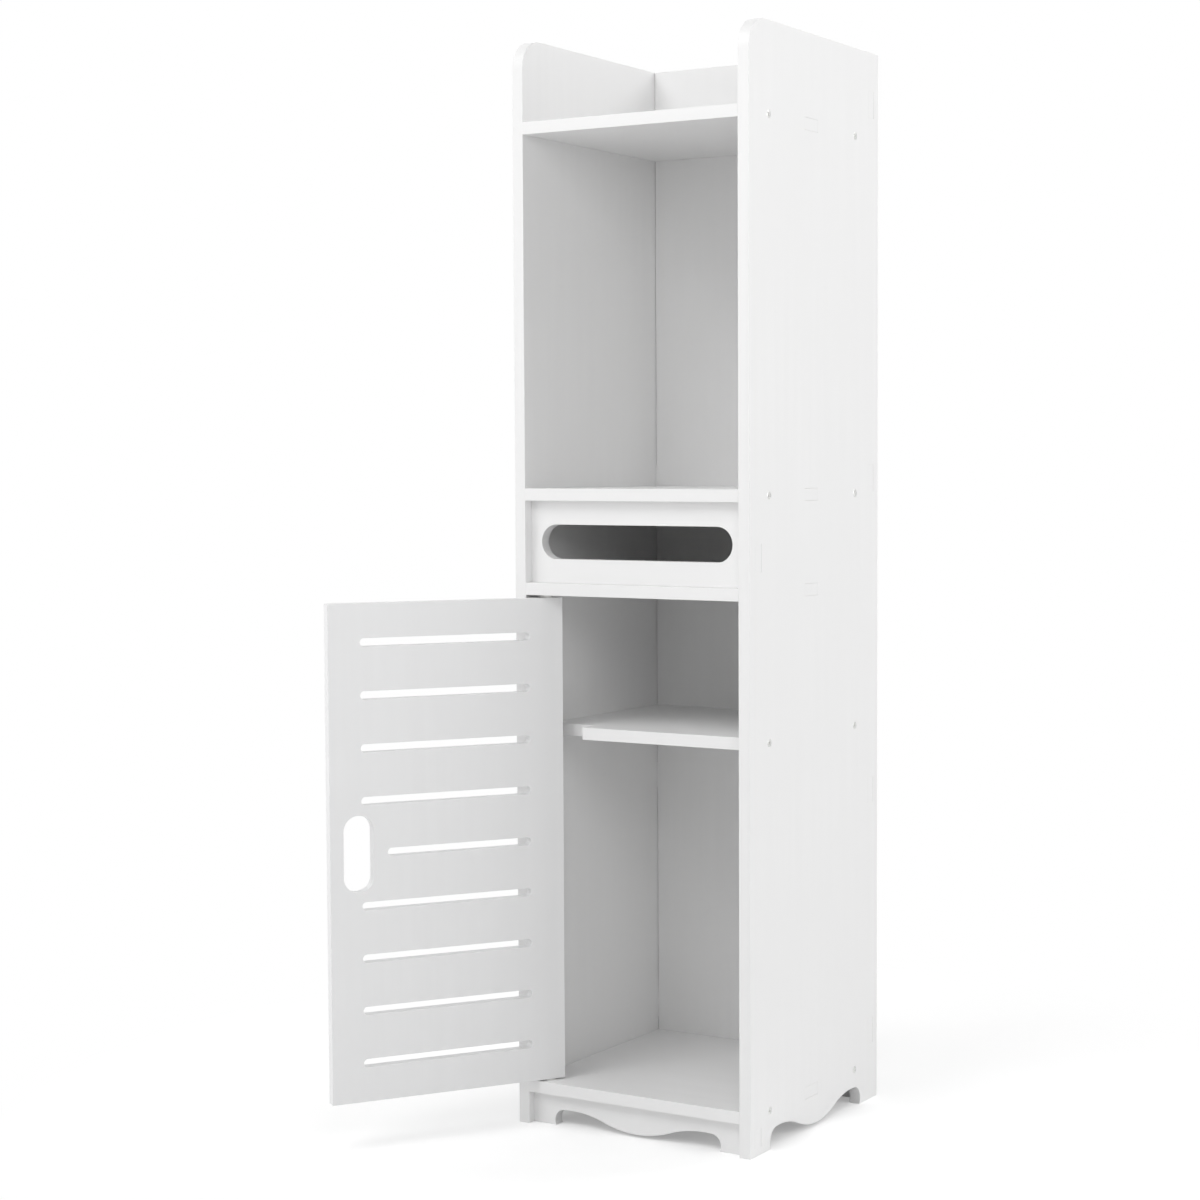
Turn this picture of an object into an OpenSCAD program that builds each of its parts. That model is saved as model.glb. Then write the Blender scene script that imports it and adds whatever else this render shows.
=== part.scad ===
// Tall narrow bathroom cabinet of white foamed board, with a louvred door on pivot pins.
// X runs to the right, Y to the back and Z up. The origin is the middle of the footprint, on the floor.
// Boards meet in through tenons and are drawn together by countersunk screws.

/* [Cabinet] */
// Overall width, outside to outside of the side panels
cabinet_w = 298; // [270:2:340]
// Overall depth, front edge to rear edge of a side panel
cabinet_d = 298; // [270:2:340]
// Overall height
cabinet_h = 1200; // [1150:5:1300]
// Thickness of every board, the door included
board_t = 13.5; // [12:0.5:15]
// Radius of the side panels' front top corners
top_corner_r = 34; // [15:1:60]
// Depth of the back panel's rear face behind the side panels' rear edges
back_recess = 11.5; // [4:0.5:25]

/* [Levels] */
// Height of the bottom board's underside above the floor
bottom_board_z = 36; // [32:1:60]
// Height of the inner shelf's underside above the floor
inner_shelf_z = 432.5; // [250:2.5:500]
// Height of the underside of the shelf over the door
door_head_z = 592; // [560:1:620]
// Clear height of the tissue compartment
tissue_space_h = 90.5; // [70:0.5:120]
// Height of the side panels above the top shelf
top_guard_h = 91; // [50:1:130]

/* [Feet] */
// Width of each foot of a side panel
side_foot_w = 43; // [30:1:60]
// Height of a side panel's lower edge at its two shoulders
side_peak_z = 22.5; // [20:0.5:25]
// Height of a side panel's lower edge at its middle drop
side_drop_z = 4.5; // [2:0.5:10]
// Width of each foot of the apron and of the back panel
apron_foot_w = 28.5; // [20:0.5:45]
// Height of the apron's lower edge at its two shoulders
apron_peak_z = 18.5; // [16:0.5:21]
// Height of the apron's lower edge at its middle drop
apron_drop_z = 3.5; // [2:0.5:8]
// Radius of the rounded shoulder beside each foot of a side panel
side_shoulder_r = 15; // [13:0.5:17]
// Radius of the rounded shoulder beside each foot of the apron and of the back panel
apron_shoulder_r = 12; // [11:0.5:15]
// Distance from a foot's edge to the highest point of its shoulder
shoulder_w = 22; // [18:1:30]
// Depth of the apron's face behind the front edges
apron_recess = 9.5; // [2:0.5:30]

/* [Tissue compartment] */
// Depth of the tissue panel's face behind the front edges
tissue_recess = 12; // [2:0.5:40]
// Distance from each side panel to the end of the rounded slot that tissues are pulled through
tissue_slot_margin = 14; // [8:1:70]
// Height of that slot
tissue_slot_h = 38; // [20:1:50]

/* [Door] */
// Gap between the door and each side panel
door_side_gap = 1.8; // [1.5:0.1:3]
// Gap between the door and the shelf over it
door_top_gap = 3; // [2:0.5:5]
// Gap between the door and the bottom board
door_bottom_gap = 1.5; // [1:0.5:3]
// Distance of the pivot axis from the door's hinge edge
pivot_inset = 16.2; // [15:0.1:24]
// Distance of the pivot axis behind the front edges
pivot_depth = 14; // [12:0.1:16]
// Angle that the door stands open
open_angle = 123.8; // [0:0.1:124]
// Number of louvre slots
slot_count = 9; // [3:2:11]
// Height of a louvre slot
slot_h = 9; // [5:0.5:14]
// Distance from the door's top or bottom edge to the nearest slot
slot_end_margin = 37.5; // [25:0.5:60]
// Distance from the hinge edge to the slots
slot_hinge_margin = 39; // [30:1:60]
// Distance from the free edge to the slots
slot_free_margin = 35; // [25:1:50]
// Width of the finger hole
finger_hole_w = 33; // [24:1:40]
// Height of the finger hole
finger_hole_h = 83; // [60:1:110]
// Distance from the free edge to the finger hole
finger_hole_margin = 15; // [12:1:24]
// Distance from the finger hole to the short middle slot
short_slot_gap = 16; // [10:1:40]

/* [Pivots] */
// Radius of the steel pivot pins
pin_r = 2.5; // [2:0.1:3]
// Length of pin inside the door
pin_in_door = 22; // [12:1:30]
// Length of pin that stands out of the door
pin_out = 9; // [7:0.5:9.5]
// Outer radius of a bush's sleeve
bush_r = 4; // [3.8:0.1:5]
// Radius of a bush's flange
bush_flange_r = 7; // [5.5:0.5:8]
// Thickness of the closed end of a bush
bush_floor_t = 1; // [0.8:0.1:1.5]

/* [Inner shelf] */
// Width of the notch that lets the door's hinge edge swing
notch_w = 60; // [45:1:90]
// Depth of that notch
notch_d = 24.5; // [14:0.5:40]

/* [Joints between boards] */
// Length of a board's through tenon
tenon_l = 30; // [15:1:50]
// Height of the apron's tenon
apron_tenon_l = 20; // [10:1:22]
// Height of the apron's tenon above the floor
apron_tenon_z = 8.5; // [4:0.5:12]
// Height of the tissue panel's tenon above its shelf
tissue_tenon_rise = 16.5; // [5:0.5:19]
// Height of the middle of the back panel's lowest tenon above the bottom board's underside
back_tenon_1_rise = 44; // [30:1:90]
// Distance from the inner shelf's underside down to the middle of the second tenon
back_tenon_2_drop = 71.5; // [20:0.5:120]
// Height of the middle of the third tenon above the middle shelf's underside
back_tenon_3_rise = 24; // [0:1:80]
// Distance from the cabinet's top down to the middle of the highest tenon
back_tenon_4_drop = 58; // [35:1:80]

/* [Screws] */
// Radius of a screw's shank
screw_r = 2; // [1.5:0.1:2.5]
// Radius of a screw's countersunk head
screw_head_r = 4; // [3:0.1:5]
// Length of a screw
screw_l = 40; // [30:1:50]
// Distance from the front edges to the front screws
screw_front = 42.5; // [30:0.5:60]
// Distance from the rear edges to the rear screws
screw_rear = 57; // [45:0.5:80]
// Distance from the inner shelf's notch to the screw that stands behind it
notch_screw_gap = 8; // [6:0.5:30]

/* [Hidden] */
$fn = 48;
small_fn = 24;         // sides of a small circle, such as a screw's or a pin's
arc_fn = 192;          // sides of the circles that the long arcs of a scalloped edge are part of

// Clearances
tenon_fit = 0.15;      // round a tenon in its mortise
screw_fit = 0.1;       // round a screw in its hole
bush_fit = 0.05;       // round a bush in its hole and a pin in the door
running_fit = 0.08;    // round a turning pin in its bush
end_play = 0.2;        // between a bush's flange and the door
stop_gap = 0.5;        // between the closed door and the inner shelf
pin_end_gap = 0.5;     // under or over a pin's end
through = 1;           // how far a cutter passes a face
arc_overlap = 0.01;    // how far one arc of a scalloped edge stands past the next

// Levels and faces worked out from the sizes above
inner_w = cabinet_w - 2 * board_t;
front_y = -cabinet_d / 2;
back_y = cabinet_d / 2 - back_recess - board_t;
top_shelf_z = cabinet_h - top_guard_h - board_t;
middle_shelf_z = door_head_z + board_t + tissue_space_h;
shelf_d = back_y - front_y;
shelf_mid_y = front_y + shelf_d / 2;
tissue_y = front_y + tissue_recess;
tissue_slot_w = inner_w - 2 * tissue_slot_margin;
apron_y = front_y + apron_recess;

// The door in its own frame: X along it from the pivot axis, Z up from the floor
pivot_x = -inner_w / 2 + door_side_gap + pivot_inset;
pivot_y = front_y + pivot_depth;
door_w = inner_w - 2 * door_side_gap;
door_z = bottom_board_z + board_t + door_bottom_gap;
door_h = door_head_z - door_top_gap - door_z;
door_free_x = door_w - pivot_inset;
door_mid_z = door_z + door_h / 2;
slot_pitch = (door_h - 2 * slot_end_margin - slot_h) / (slot_count - 1);
inner_shelf_y = pivot_y + board_t / 2 + stop_gap;

// Heights of the middles of the back panel's tenons
back_tenon_zs = [
    bottom_board_z + back_tenon_1_rise,
    inner_shelf_z - back_tenon_2_drop,
    middle_shelf_z + back_tenon_3_rise,
    cabinet_h - back_tenon_4_drop
];

// Levels with a tenon at each end, and levels that are screwed to the side panels
tenoned_levels = [top_shelf_z, middle_shelf_z, door_head_z, bottom_board_z];
screwed_levels = [top_shelf_z, middle_shelf_z, inner_shelf_z, bottom_board_z];

// Screw head and its cross recess
screw_head_h = screw_head_r - screw_r;
cross_l = screw_head_r;
cross_w = screw_head_r / 5;
cross_depth = screw_head_h * 0.8;
screw_tip = 2 * screw_r;
screw_sink = 0.2;

BOARD_WHITE = [0.93, 0.94, 0.94];
DOOR_WHITE = [0.95, 0.95, 0.96];
NYLON_WHITE = [0.85, 0.86, 0.86];
PIN_STEEL = [0.72, 0.73, 0.75];
SCREW_STEEL = [0.66, 0.67, 0.69];

// Draws its outline, given as depth and height, as a board that stands from front to back
module board_across_x() {
    rotate([90, 0, 90]) linear_extrude(board_t) children();
}

// Draws its outline, given as width and height, as a board that stands from left to right
module board_across_y() {
    translate([0, board_t, 0]) rotate([90, 0, 0]) linear_extrude(board_t) children();
}

// A slot with round ends, lying along its longer side, centred
module rounded_slot(l, h) {
    run = abs(l - h) / 2;
    turn = l >= h ? 0 : 90;
    width = min(l, h);
    rotate(turn) {
        square([2 * run, width], center = true);
        for (s = [-1, 1])
            translate([s * run, 0]) circle(d = width);
    }
}

// What is cut away between two feet. Each half is an S curve of two equal arcs, one that hangs down
// at the middle and one that rises, and then a rounded shoulder beside the foot. The shoulder turns
// on past upright down to the floor, which gives each foot a small toe. Where two curves meet, one
// stands arc_overlap past the other, so that they cross in one clean edge.
module scallop_cut(half_gap, peak, drop, shoulder_r) {
    run = half_gap - shoulder_w;
    rise = peak - drop;
    arc_r = (run * run + rise * rise - arc_overlap * arc_overlap) / (4 * (rise - arc_overlap));
    shoulder_x = half_gap - shoulder_r + arc_overlap;
    reach = arc_r - shoulder_r + arc_overlap;
    reach_x = shoulder_x - run;
    shoulder_z = peak - arc_r + sqrt(reach * reach - reach_x * reach_x);
    difference() {
        translate([-run / 2, -through]) square([run, through + peak]);
        translate([0, drop + arc_r]) circle(arc_r, $fn = arc_fn);
    }
    for (s = [0, 1])
        mirror([s, 0]) {
            intersection() {
                translate([run / 4, -through])
                    square([run * 3 / 4 + reach_x * arc_r / reach, peak + 2 * through]);
                translate([run, peak - arc_r]) circle(arc_r, $fn = arc_fn);
            }
            translate([run, -through]) square([reach_x, through + shoulder_z]);
            translate([shoulder_x, shoulder_z]) circle(shoulder_r);
        }
}

// Outline of a side panel, from its front edge to its rear edge
module side_outline() {
    difference() {
        translate([front_y, 0]) square([cabinet_d, cabinet_h]);
        scallop_cut(cabinet_d / 2 - side_foot_w, side_peak_z, side_drop_z, side_shoulder_r);
        translate([front_y, cabinet_h - top_corner_r])
            difference() {
                translate([-through, 0]) square([through + top_corner_r, top_corner_r + through]);
                translate([top_corner_r, 0]) circle(top_corner_r);
            }
    }
}

// A mortise in a side panel, as long and high as its tenon with the fit round it
module mortise(y, z, l, h) {
    translate([y - tenon_fit, z - tenon_fit]) square([l + 2 * tenon_fit, h + 2 * tenon_fit]);
}

// Every mortise of a side panel
module side_mortises() {
    for (z = tenoned_levels)
        mortise(shelf_mid_y - tenon_l / 2, z, tenon_l, board_t);
    for (z = back_tenon_zs)
        mortise(back_y, z - tenon_l / 2, board_t, tenon_l);
    mortise(tissue_y, door_head_z + board_t + tissue_tenon_rise, board_t, tenon_l);
    mortise(apron_y, apron_tenon_z, board_t, apron_tenon_l);
}

// Depths of the two screws of one level on one side; the front one stands behind the notch
function screw_ys(z, side) = [
    z == inner_shelf_z && side < 0 ? inner_shelf_y + notch_d + notch_screw_gap : front_y + screw_front,
    cabinet_d / 2 - screw_rear
];

// Puts its children at the two screws of one level on one side, their Z pointing out of the panel
module at_screws(z, side) {
    for (y = screw_ys(z, side))
        translate([side * (cabinet_w / 2 - screw_sink), y, z + board_t / 2])
            rotate([0, side * 90, 0]) children();
}

// A countersunk screw with a cross recess, its head's face at the origin, pointing down
module screw() {
    $fn = small_fn;
    difference() {
        union() {
            translate([0, 0, -screw_head_h]) cylinder(h = screw_head_h, r1 = screw_r, r2 = screw_head_r);
            translate([0, 0, screw_tip - screw_l])
                cylinder(h = screw_l - screw_tip - screw_head_h, r = screw_r);
            translate([0, 0, -screw_l]) cylinder(h = screw_tip, r1 = screw_r / 5, r2 = screw_r);
        }
        for (a = [0, 90])
            rotate(a) translate([-cross_l / 2, -cross_w / 2, -cross_depth])
                cube([cross_l, cross_w, cross_depth + through]);
    }
}

// The hole for that screw, open past its head
module screw_hole() {
    $fn = small_fn;
    translate([0, 0, -screw_l - screw_fit]) cylinder(h = screw_l, r = screw_r + screw_fit);
    translate([0, 0, -screw_head_h])
        cylinder(h = screw_head_h, r1 = screw_r + screw_fit, r2 = screw_head_r + screw_fit);
    cylinder(h = through, r = screw_head_r + screw_fit);
}

// A side panel; side is -1 for the left one and 1 for the right one
module side_panel(side) {
    difference() {
        translate([side > 0 ? inner_w / 2 : -cabinet_w / 2, 0, 0])
            board_across_x() difference() {
                side_outline();
                side_mortises();
            }
        for (z = screwed_levels)
            at_screws(z, side) screw_hole();
    }
}

module left_side_panel() {
    color(BOARD_WHITE) side_panel(-1);
}

module right_side_panel() {
    color(BOARD_WHITE) side_panel(1);
}

// A pair of through tenons that reach the outer faces of the side panels
module tenons(y, z, l, h) {
    for (s = [0, 1])
        mirror([s, 0, 0]) translate([inner_w / 2, y, z]) cube([board_t, l, h]);
}

module back_panel() {
    color(BOARD_WHITE) {
        translate([0, back_y, 0]) board_across_y() difference() {
            translate([-inner_w / 2, 0]) square([inner_w, cabinet_h]);
            scallop_cut(inner_w / 2 - apron_foot_w, apron_peak_z, apron_drop_z, apron_shoulder_r);
        }
        for (z = back_tenon_zs)
            tenons(back_y, z - tenon_l / 2, board_t, tenon_l);
    }
}

// A full-depth shelf with a through tenon at the middle of each end
module tenoned_shelf(z) {
    translate([-inner_w / 2, front_y, z]) cube([inner_w, shelf_d, board_t]);
    tenons(shelf_mid_y - tenon_l / 2, z, tenon_l, board_t);
}

// Cuts the four screw holes of one level
module screwed(z) {
    difference() {
        children();
        for (side = [-1, 1])
            at_screws(z, side) screw_hole();
    }
}

module top_shelf() {
    color(BOARD_WHITE) screwed(top_shelf_z) tenoned_shelf(top_shelf_z);
}

module middle_shelf() {
    color(BOARD_WHITE) screwed(middle_shelf_z) tenoned_shelf(middle_shelf_z);
}

// Depth of a bush's bore below its board's face, where gap is the space between board and door
function bush_bore_depth(gap) = pin_out - gap + pin_end_gap;

// Blind hole for a bush; z is the board's face and way is 1 for a hole that goes up, -1 for down
module bush_hole(z, way, gap) {
    $fn = small_fn;
    translate([pivot_x, pivot_y, z]) mirror([0, 0, way > 0 ? 0 : 1]) translate([0, 0, -through])
        cylinder(h = through + bush_bore_depth(gap) + bush_floor_t + bush_fit, r = bush_r + bush_fit);
}

module door_head_shelf() {
    color(BOARD_WHITE) difference() {
        tenoned_shelf(door_head_z);
        bush_hole(door_head_z, 1, door_top_gap);
    }
}

module bottom_board() {
    color(BOARD_WHITE) difference() {
        screwed(bottom_board_z) tenoned_shelf(bottom_board_z);
        bush_hole(bottom_board_z + board_t, -1, door_bottom_gap);
    }
}

// The upright panel that closes the tissue compartment, with its rounded slot
module tissue_panel() {
    floor_z = door_head_z + board_t;
    color(BOARD_WHITE) {
        translate([0, tissue_y, floor_z]) board_across_y() difference() {
            translate([-inner_w / 2, 0]) square([inner_w, tissue_space_h]);
            translate([0, tissue_space_h / 2]) rounded_slot(tissue_slot_w, tissue_slot_h);
        }
        tenons(tissue_y, floor_z + tissue_tenon_rise, board_t, tenon_l);
    }
}

// The shelf behind the door; its front edge is the door's stop
module inner_shelf() {
    color(BOARD_WHITE) screwed(inner_shelf_z) difference() {
        translate([-inner_w / 2, inner_shelf_y, inner_shelf_z])
            cube([inner_w, back_y - inner_shelf_y, board_t]);
        translate([-inner_w / 2 - through, inner_shelf_y - through, inner_shelf_z - through])
            cube([notch_w + through, notch_d + through, board_t + 2 * through]);
    }
}

module front_apron() {
    color(BOARD_WHITE) {
        translate([0, apron_y, 0]) board_across_y() difference() {
            translate([-inner_w / 2, 0]) square([inner_w, bottom_board_z]);
            scallop_cut(inner_w / 2 - apron_foot_w, apron_peak_z, apron_drop_z, apron_shoulder_r);
        }
        tenons(apron_y, apron_tenon_z, board_t, apron_tenon_l);
    }
}

// Outline of the door, from its hinge edge to its free edge
module door_outline() {
    hinge_x = -pivot_inset;
    slots_x = hinge_x + slot_hinge_margin;
    slots_l = door_w - slot_hinge_margin - slot_free_margin;
    hole_x = door_free_x - finger_hole_margin - finger_hole_w / 2;
    short_l = hole_x - finger_hole_w / 2 - short_slot_gap - slots_x;
    middle_slot = (slot_count - 1) / 2;
    difference() {
        translate([hinge_x, door_z]) square([door_w, door_h]);
        translate([hole_x, door_mid_z]) rounded_slot(finger_hole_w, finger_hole_h);
        for (i = [0 : slot_count - 1]) {
            l = i == middle_slot ? short_l : slots_l;
            translate([slots_x + l / 2, door_mid_z + (i - middle_slot) * slot_pitch]) rounded_slot(l, slot_h);
        }
    }
}

// The louvred door, standing open on its pivots
module door_panel() {
    color(DOOR_WHITE) translate([pivot_x, pivot_y, 0]) rotate([0, 0, -open_angle]) difference() {
        translate([0, -board_t / 2, 0]) board_across_y() door_outline();
        for (z = [door_z - through, door_z + door_h - pin_in_door])
            translate([0, 0, z]) cylinder(h = through + pin_in_door, r = pin_r + bush_fit, $fn = small_fn);
    }
}

// A pivot pin with eased ends; z is the door's edge and way is 1 for the upper pin, -1 for the lower
module pivot_pin(z, way) {
    $fn = small_fn;
    ease = pin_r / 4;
    color(PIN_STEEL) translate([pivot_x, pivot_y, z]) mirror([0, 0, way > 0 ? 0 : 1])
        rotate_extrude() polygon([
            [0, -pin_in_door], [pin_r - ease, -pin_in_door], [pin_r, ease - pin_in_door],
            [pin_r, pin_out - ease], [pin_r - ease, pin_out], [0, pin_out]
        ]);
}

module upper_pivot_pin() {
    pivot_pin(door_z + door_h, 1);
}

module lower_pivot_pin() {
    pivot_pin(door_z, -1);
}

// A flanged bush; z is its board's face, way is 1 for one let in upwards, gap is the space by the door
module pivot_bush(z, way, gap) {
    $fn = small_fn;
    flange_t = gap - end_play;
    color(NYLON_WHITE) translate([pivot_x, pivot_y, z]) mirror([0, 0, way > 0 ? 0 : 1])
        difference() {
            union() {
                cylinder(h = bush_bore_depth(gap) + bush_floor_t, r = bush_r);
                translate([0, 0, -flange_t]) cylinder(h = flange_t, r = bush_flange_r);
            }
            translate([0, 0, -flange_t - through])
                cylinder(h = through + flange_t + bush_bore_depth(gap), r = pin_r + running_fit);
        }
}

module upper_pivot_bush() {
    pivot_bush(door_head_z, 1, door_top_gap);
}

module lower_pivot_bush() {
    pivot_bush(bottom_board_z + board_t, -1, door_bottom_gap);
}

// The four screws of one level, two through each side panel
module level_screws(z) {
    color(SCREW_STEEL)
        for (side = [-1, 1])
            at_screws(z, side) screw();
}

module top_shelf_screws() {
    level_screws(top_shelf_z);
}

module middle_shelf_screws() {
    level_screws(middle_shelf_z);
}

module inner_shelf_screws() {
    level_screws(inner_shelf_z);
}

module bottom_board_screws() {
    level_screws(bottom_board_z);
}

left_side_panel();
right_side_panel();
back_panel();
top_shelf();
middle_shelf();
door_head_shelf();
tissue_panel();
inner_shelf();
bottom_board();
front_apron();
door_panel();
upper_pivot_pin();
lower_pivot_pin();
upper_pivot_bush();
lower_pivot_bush();
top_shelf_screws();
middle_shelf_screws();
inner_shelf_screws();
bottom_board_screws();
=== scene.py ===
# %% [markdown]
# A tall white bathroom cabinet
#
# The cabinet is made of flat boards: two side panels, a back panel, shelves, an apron between the
# front feet and a louvred door that turns on two steel pins. All of them are foamed board with a
# satin skin and a duller cut edge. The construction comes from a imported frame, in metres, whose
# nodes keep their real places. This script gives them their finish: eased edges, skin and cut-edge
# materials, threaded screws, and then a stage, a camera and soft light.

import math

import bmesh
import bpy
from mathutils import Matrix, Vector
from mathutils.geometry import delaunay_2d_cdt


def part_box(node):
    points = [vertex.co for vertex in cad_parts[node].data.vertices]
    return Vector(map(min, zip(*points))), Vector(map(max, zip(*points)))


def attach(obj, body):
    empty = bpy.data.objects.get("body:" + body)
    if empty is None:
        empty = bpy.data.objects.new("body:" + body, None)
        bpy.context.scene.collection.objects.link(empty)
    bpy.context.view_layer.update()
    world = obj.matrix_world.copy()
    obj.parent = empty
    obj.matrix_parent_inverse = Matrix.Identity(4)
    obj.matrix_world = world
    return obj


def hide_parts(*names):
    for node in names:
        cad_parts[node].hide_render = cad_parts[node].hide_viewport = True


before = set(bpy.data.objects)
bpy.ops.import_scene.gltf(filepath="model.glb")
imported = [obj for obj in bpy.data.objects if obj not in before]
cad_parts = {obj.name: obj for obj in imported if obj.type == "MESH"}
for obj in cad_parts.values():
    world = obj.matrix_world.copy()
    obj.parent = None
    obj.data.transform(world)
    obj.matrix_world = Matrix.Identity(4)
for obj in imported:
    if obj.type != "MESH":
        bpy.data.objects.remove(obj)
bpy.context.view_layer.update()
MM = 0.001

# %% [markdown]
# Camera
#
# The camera comes first, because it decides which details are worth making. It stands to the right
# of the cabinet, at a bit more than half its height, and looks slightly down. A long lens from
# 2.7 m keeps the upright edges nearly parallel. The picture isn't centred on the lens axis, so the
# lens is shifted sideways and not turned: turning it would change the vanishing points.

# %% Camera
PICTURE_W = 1200
CAMERA_PLACE = Vector((1.3806, -2.3092, 0.7384))
CAMERA_YAW, CAMERA_PITCH, CAMERA_ROLL = 29.937, -3.32, -0.108
FOCAL_PX = 2383.7
AXIS_PX = 739.241
SENSOR_MM = 36.0
CLIP_NEAR, CLIP_FAR = 0.01, 100

yaw, pitch, roll = (math.radians(a) for a in (CAMERA_YAW, CAMERA_PITCH, CAMERA_ROLL))
ahead = Vector((-math.sin(yaw) * math.cos(pitch), math.cos(yaw) * math.cos(pitch), math.sin(pitch)))
level_right = Vector((math.cos(yaw), math.sin(yaw), 0))
level_up = level_right.cross(ahead)
right = math.cos(roll) * level_right + math.sin(roll) * level_up
up = -math.sin(roll) * level_right + math.cos(roll) * level_up

camera_data = bpy.data.cameras.new("camera")
camera_data.sensor_width = SENSOR_MM
camera_data.lens = FOCAL_PX / PICTURE_W * SENSOR_MM
camera_data.shift_x = (PICTURE_W / 2 - AXIS_PX) / PICTURE_W
camera_data.clip_start, camera_data.clip_end = CLIP_NEAR, CLIP_FAR
camera = bpy.data.objects.new("camera", camera_data)
bpy.context.scene.collection.objects.link(camera)
facing = Matrix((right, up, -ahead)).transposed().to_4x4()
camera.matrix_world = Matrix.Translation(CAMERA_PLACE) @ facing
bpy.context.scene.camera = camera
print("lens", round(camera_data.lens, 2), "mm, shift", round(camera_data.shift_x, 4))

# %% [markdown]
# Sizes
#
# Every board is cut from the same sheet, so its thickness is read from a side panel's node, and
# each board's place from its own node. What a box doesn't tell, such as the radius of a corner or
# the curve of the lower edges, is written in millimetres in the cell that first needs it.

# %% Sizes that the boxes tell
X, Y, Z = range(3)
side_low, side_high = (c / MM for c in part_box("right_side_panel"))
BOARD_T = side_high.x - side_low.x
HALF_W, HALF_D, TOP_Z = side_high.x, side_high.y, side_high.z
INNER_X = side_low.x


def span(node, axis):
    """Where a node starts and ends along one axis, in millimetres."""
    low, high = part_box(node)
    return low[axis] / MM, high[axis] / MM


def middle(node, axis):
    """Where the middle of a node's box is along one axis, in metres."""
    low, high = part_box(node)
    return (low[axis] + high[axis]) / 2


print(f"board {BOARD_T:.2f} mm thick, cabinet {2 * HALF_W:.1f} by {2 * HALF_D:.1f} by {TOP_Z:.1f} mm")

# %% [markdown]
# Outlines
#
# A flat board is best drawn as the maker's machine cuts it: one outline and its holes, each a
# closed run of points. Round corners come from one small arc helper. The scalloped lower edges
# are an S curve of two equal arcs with a rounded shoulder beside each foot. Both arcs have the
# radius (run * run + rise * rise) / (4 * rise), which makes them meet without a corner. The
# shoulder turns on past upright until it meets the floor, and leaves the foot a small toe.

# %% Arcs and slots
def arc(x, y, r, start, end, steps=24):
    """Points on an arc round (x, y); start and end are angles in degrees."""
    angles = (math.radians(start + (end - start) * i / steps) for i in range(steps + 1))
    return [(x + r * math.cos(a), y + r * math.sin(a)) for a in angles]


def rounded_slot(x, y, length, height):
    """A slot with round ends along its longer side, centred on (x, y)."""
    r, run = min(length, height) / 2, abs(length - height) / 2
    if length >= height:
        return arc(x + run, y, r, -90, 90) + arc(x - run, y, r, 90, 270)
    return arc(x, y + run, r, 0, 180) + arc(x, y - run, r, 180, 360)


print("points in a slot:", len(rounded_slot(0, 0, HALF_W, BOARD_T)))

# %% The scalloped edge and the side panel's outline
TOP_CORNER_R = 34
SIDE_FOOT, SIDE_PEAK, SIDE_DROP, SIDE_SHOULDER_R = 43, 22.5, 4.5, 15
SHOULDER_W, SHOULDER_STEPS = 22, 36


def scallop(half_gap, peak, drop, shoulder_r):
    """The lower edge between two feet, from left to right."""
    run, rise = half_gap - SHOULDER_W, peak - drop
    r = (run * run + rise * rise) / (4 * rise)
    swing = math.degrees(math.asin(run / 2 / r))
    shoulder_x = half_gap - shoulder_r
    lean = math.degrees(math.asin((shoulder_x - run) / (r - shoulder_r)))
    shoulder_z = peak - r + (r - shoulder_r) * math.cos(math.radians(lean))
    toe = -math.degrees(math.asin(shoulder_z / shoulder_r))
    half = arc(0, drop + r, r, -90, swing - 90) + arc(run, peak - r, r, 90 + swing, 90 - lean)[1:]
    half += arc(shoulder_x, shoulder_z, shoulder_r, 90 - lean, toe, SHOULDER_STEPS)[1:]
    return [(-x, z) for x, z in reversed(half[1:])] + half


side_scallop = scallop(HALF_D - SIDE_FOOT, SIDE_PEAK, SIDE_DROP, SIDE_SHOULDER_R)
side_outline = [(-HALF_D, 0), *side_scallop, (HALF_D, 0), (HALF_D, TOP_Z)]
side_outline += arc(TOP_CORNER_R - HALF_D, TOP_Z - TOP_CORNER_R, TOP_CORNER_R, 90, 180)
print("points in the side panel's outline:", len(side_outline))

# %% [markdown]
# From outline to board
#
# No real board has a perfectly sharp edge, and it is the thin light line on the eased edge that
# makes a white board on a white ground readable. A bevel modifier would also round the edges that
# the tenons need sharp, so the plate is built in rings: the outline is repeated at several depths,
# drawn in a little more at each step towards a face, and the rings are joined into walls. Blender's
# constrained triangulation then fills the two faces, holes left out. Mortises, screw holes and
# bush holes are cut with booleans, because these edges fit tightly and stay sharp.

# %% Walls of a plate
EASE, EASE_STEPS = 0.4, 3


def drawn_in(points):
    """For each point, the way and distance that it moves when the outline is drawn in by 1."""
    moves = []
    for before, point, after in zip(points[-1:] + points[:-1], points, points[1:] + points[:1]):
        one, two = ((b - a).normalized().orthogonal() for a, b in ((before, point), (point, after)))
        moves.append((one + two) / (1 + one.dot(two)))
    return moves


def wall_levels():
    """How far in and at what height each ring of a plate's wall lies, from the upper face down."""
    turns = [math.pi / 2 * i / EASE_STEPS for i in range(EASE_STEPS + 1)]
    rim = [(EASE * (1 - math.sin(t)), BOARD_T / 2 - EASE * (1 - math.cos(t))) for t in turns]
    return rim + [(inset, -z) for inset, z in reversed(rim)]


def plate_walls(bm, loop):
    """Adds the walls along one loop of points, and returns their uppermost and lowest ring."""
    moves = drawn_in(loop)
    rings = []
    for inset, z in wall_levels():
        rings.append([bm.verts.new((*(p + m * inset) * MM, z * MM)) for p, m in zip(loop, moves)])
    for upper, lower in zip(rings, rings[1:]):
        for i in range(len(loop)):
            bm.faces.new((upper[i - 1], lower[i - 1], lower[i], upper[i]))
    return rings[0], rings[-1]


print("rings in a plate's wall:", len(wall_levels()))

# %% A plate from its outline
INSIDE_ONLY, SAME_POINT = 1, 1e-6


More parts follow.
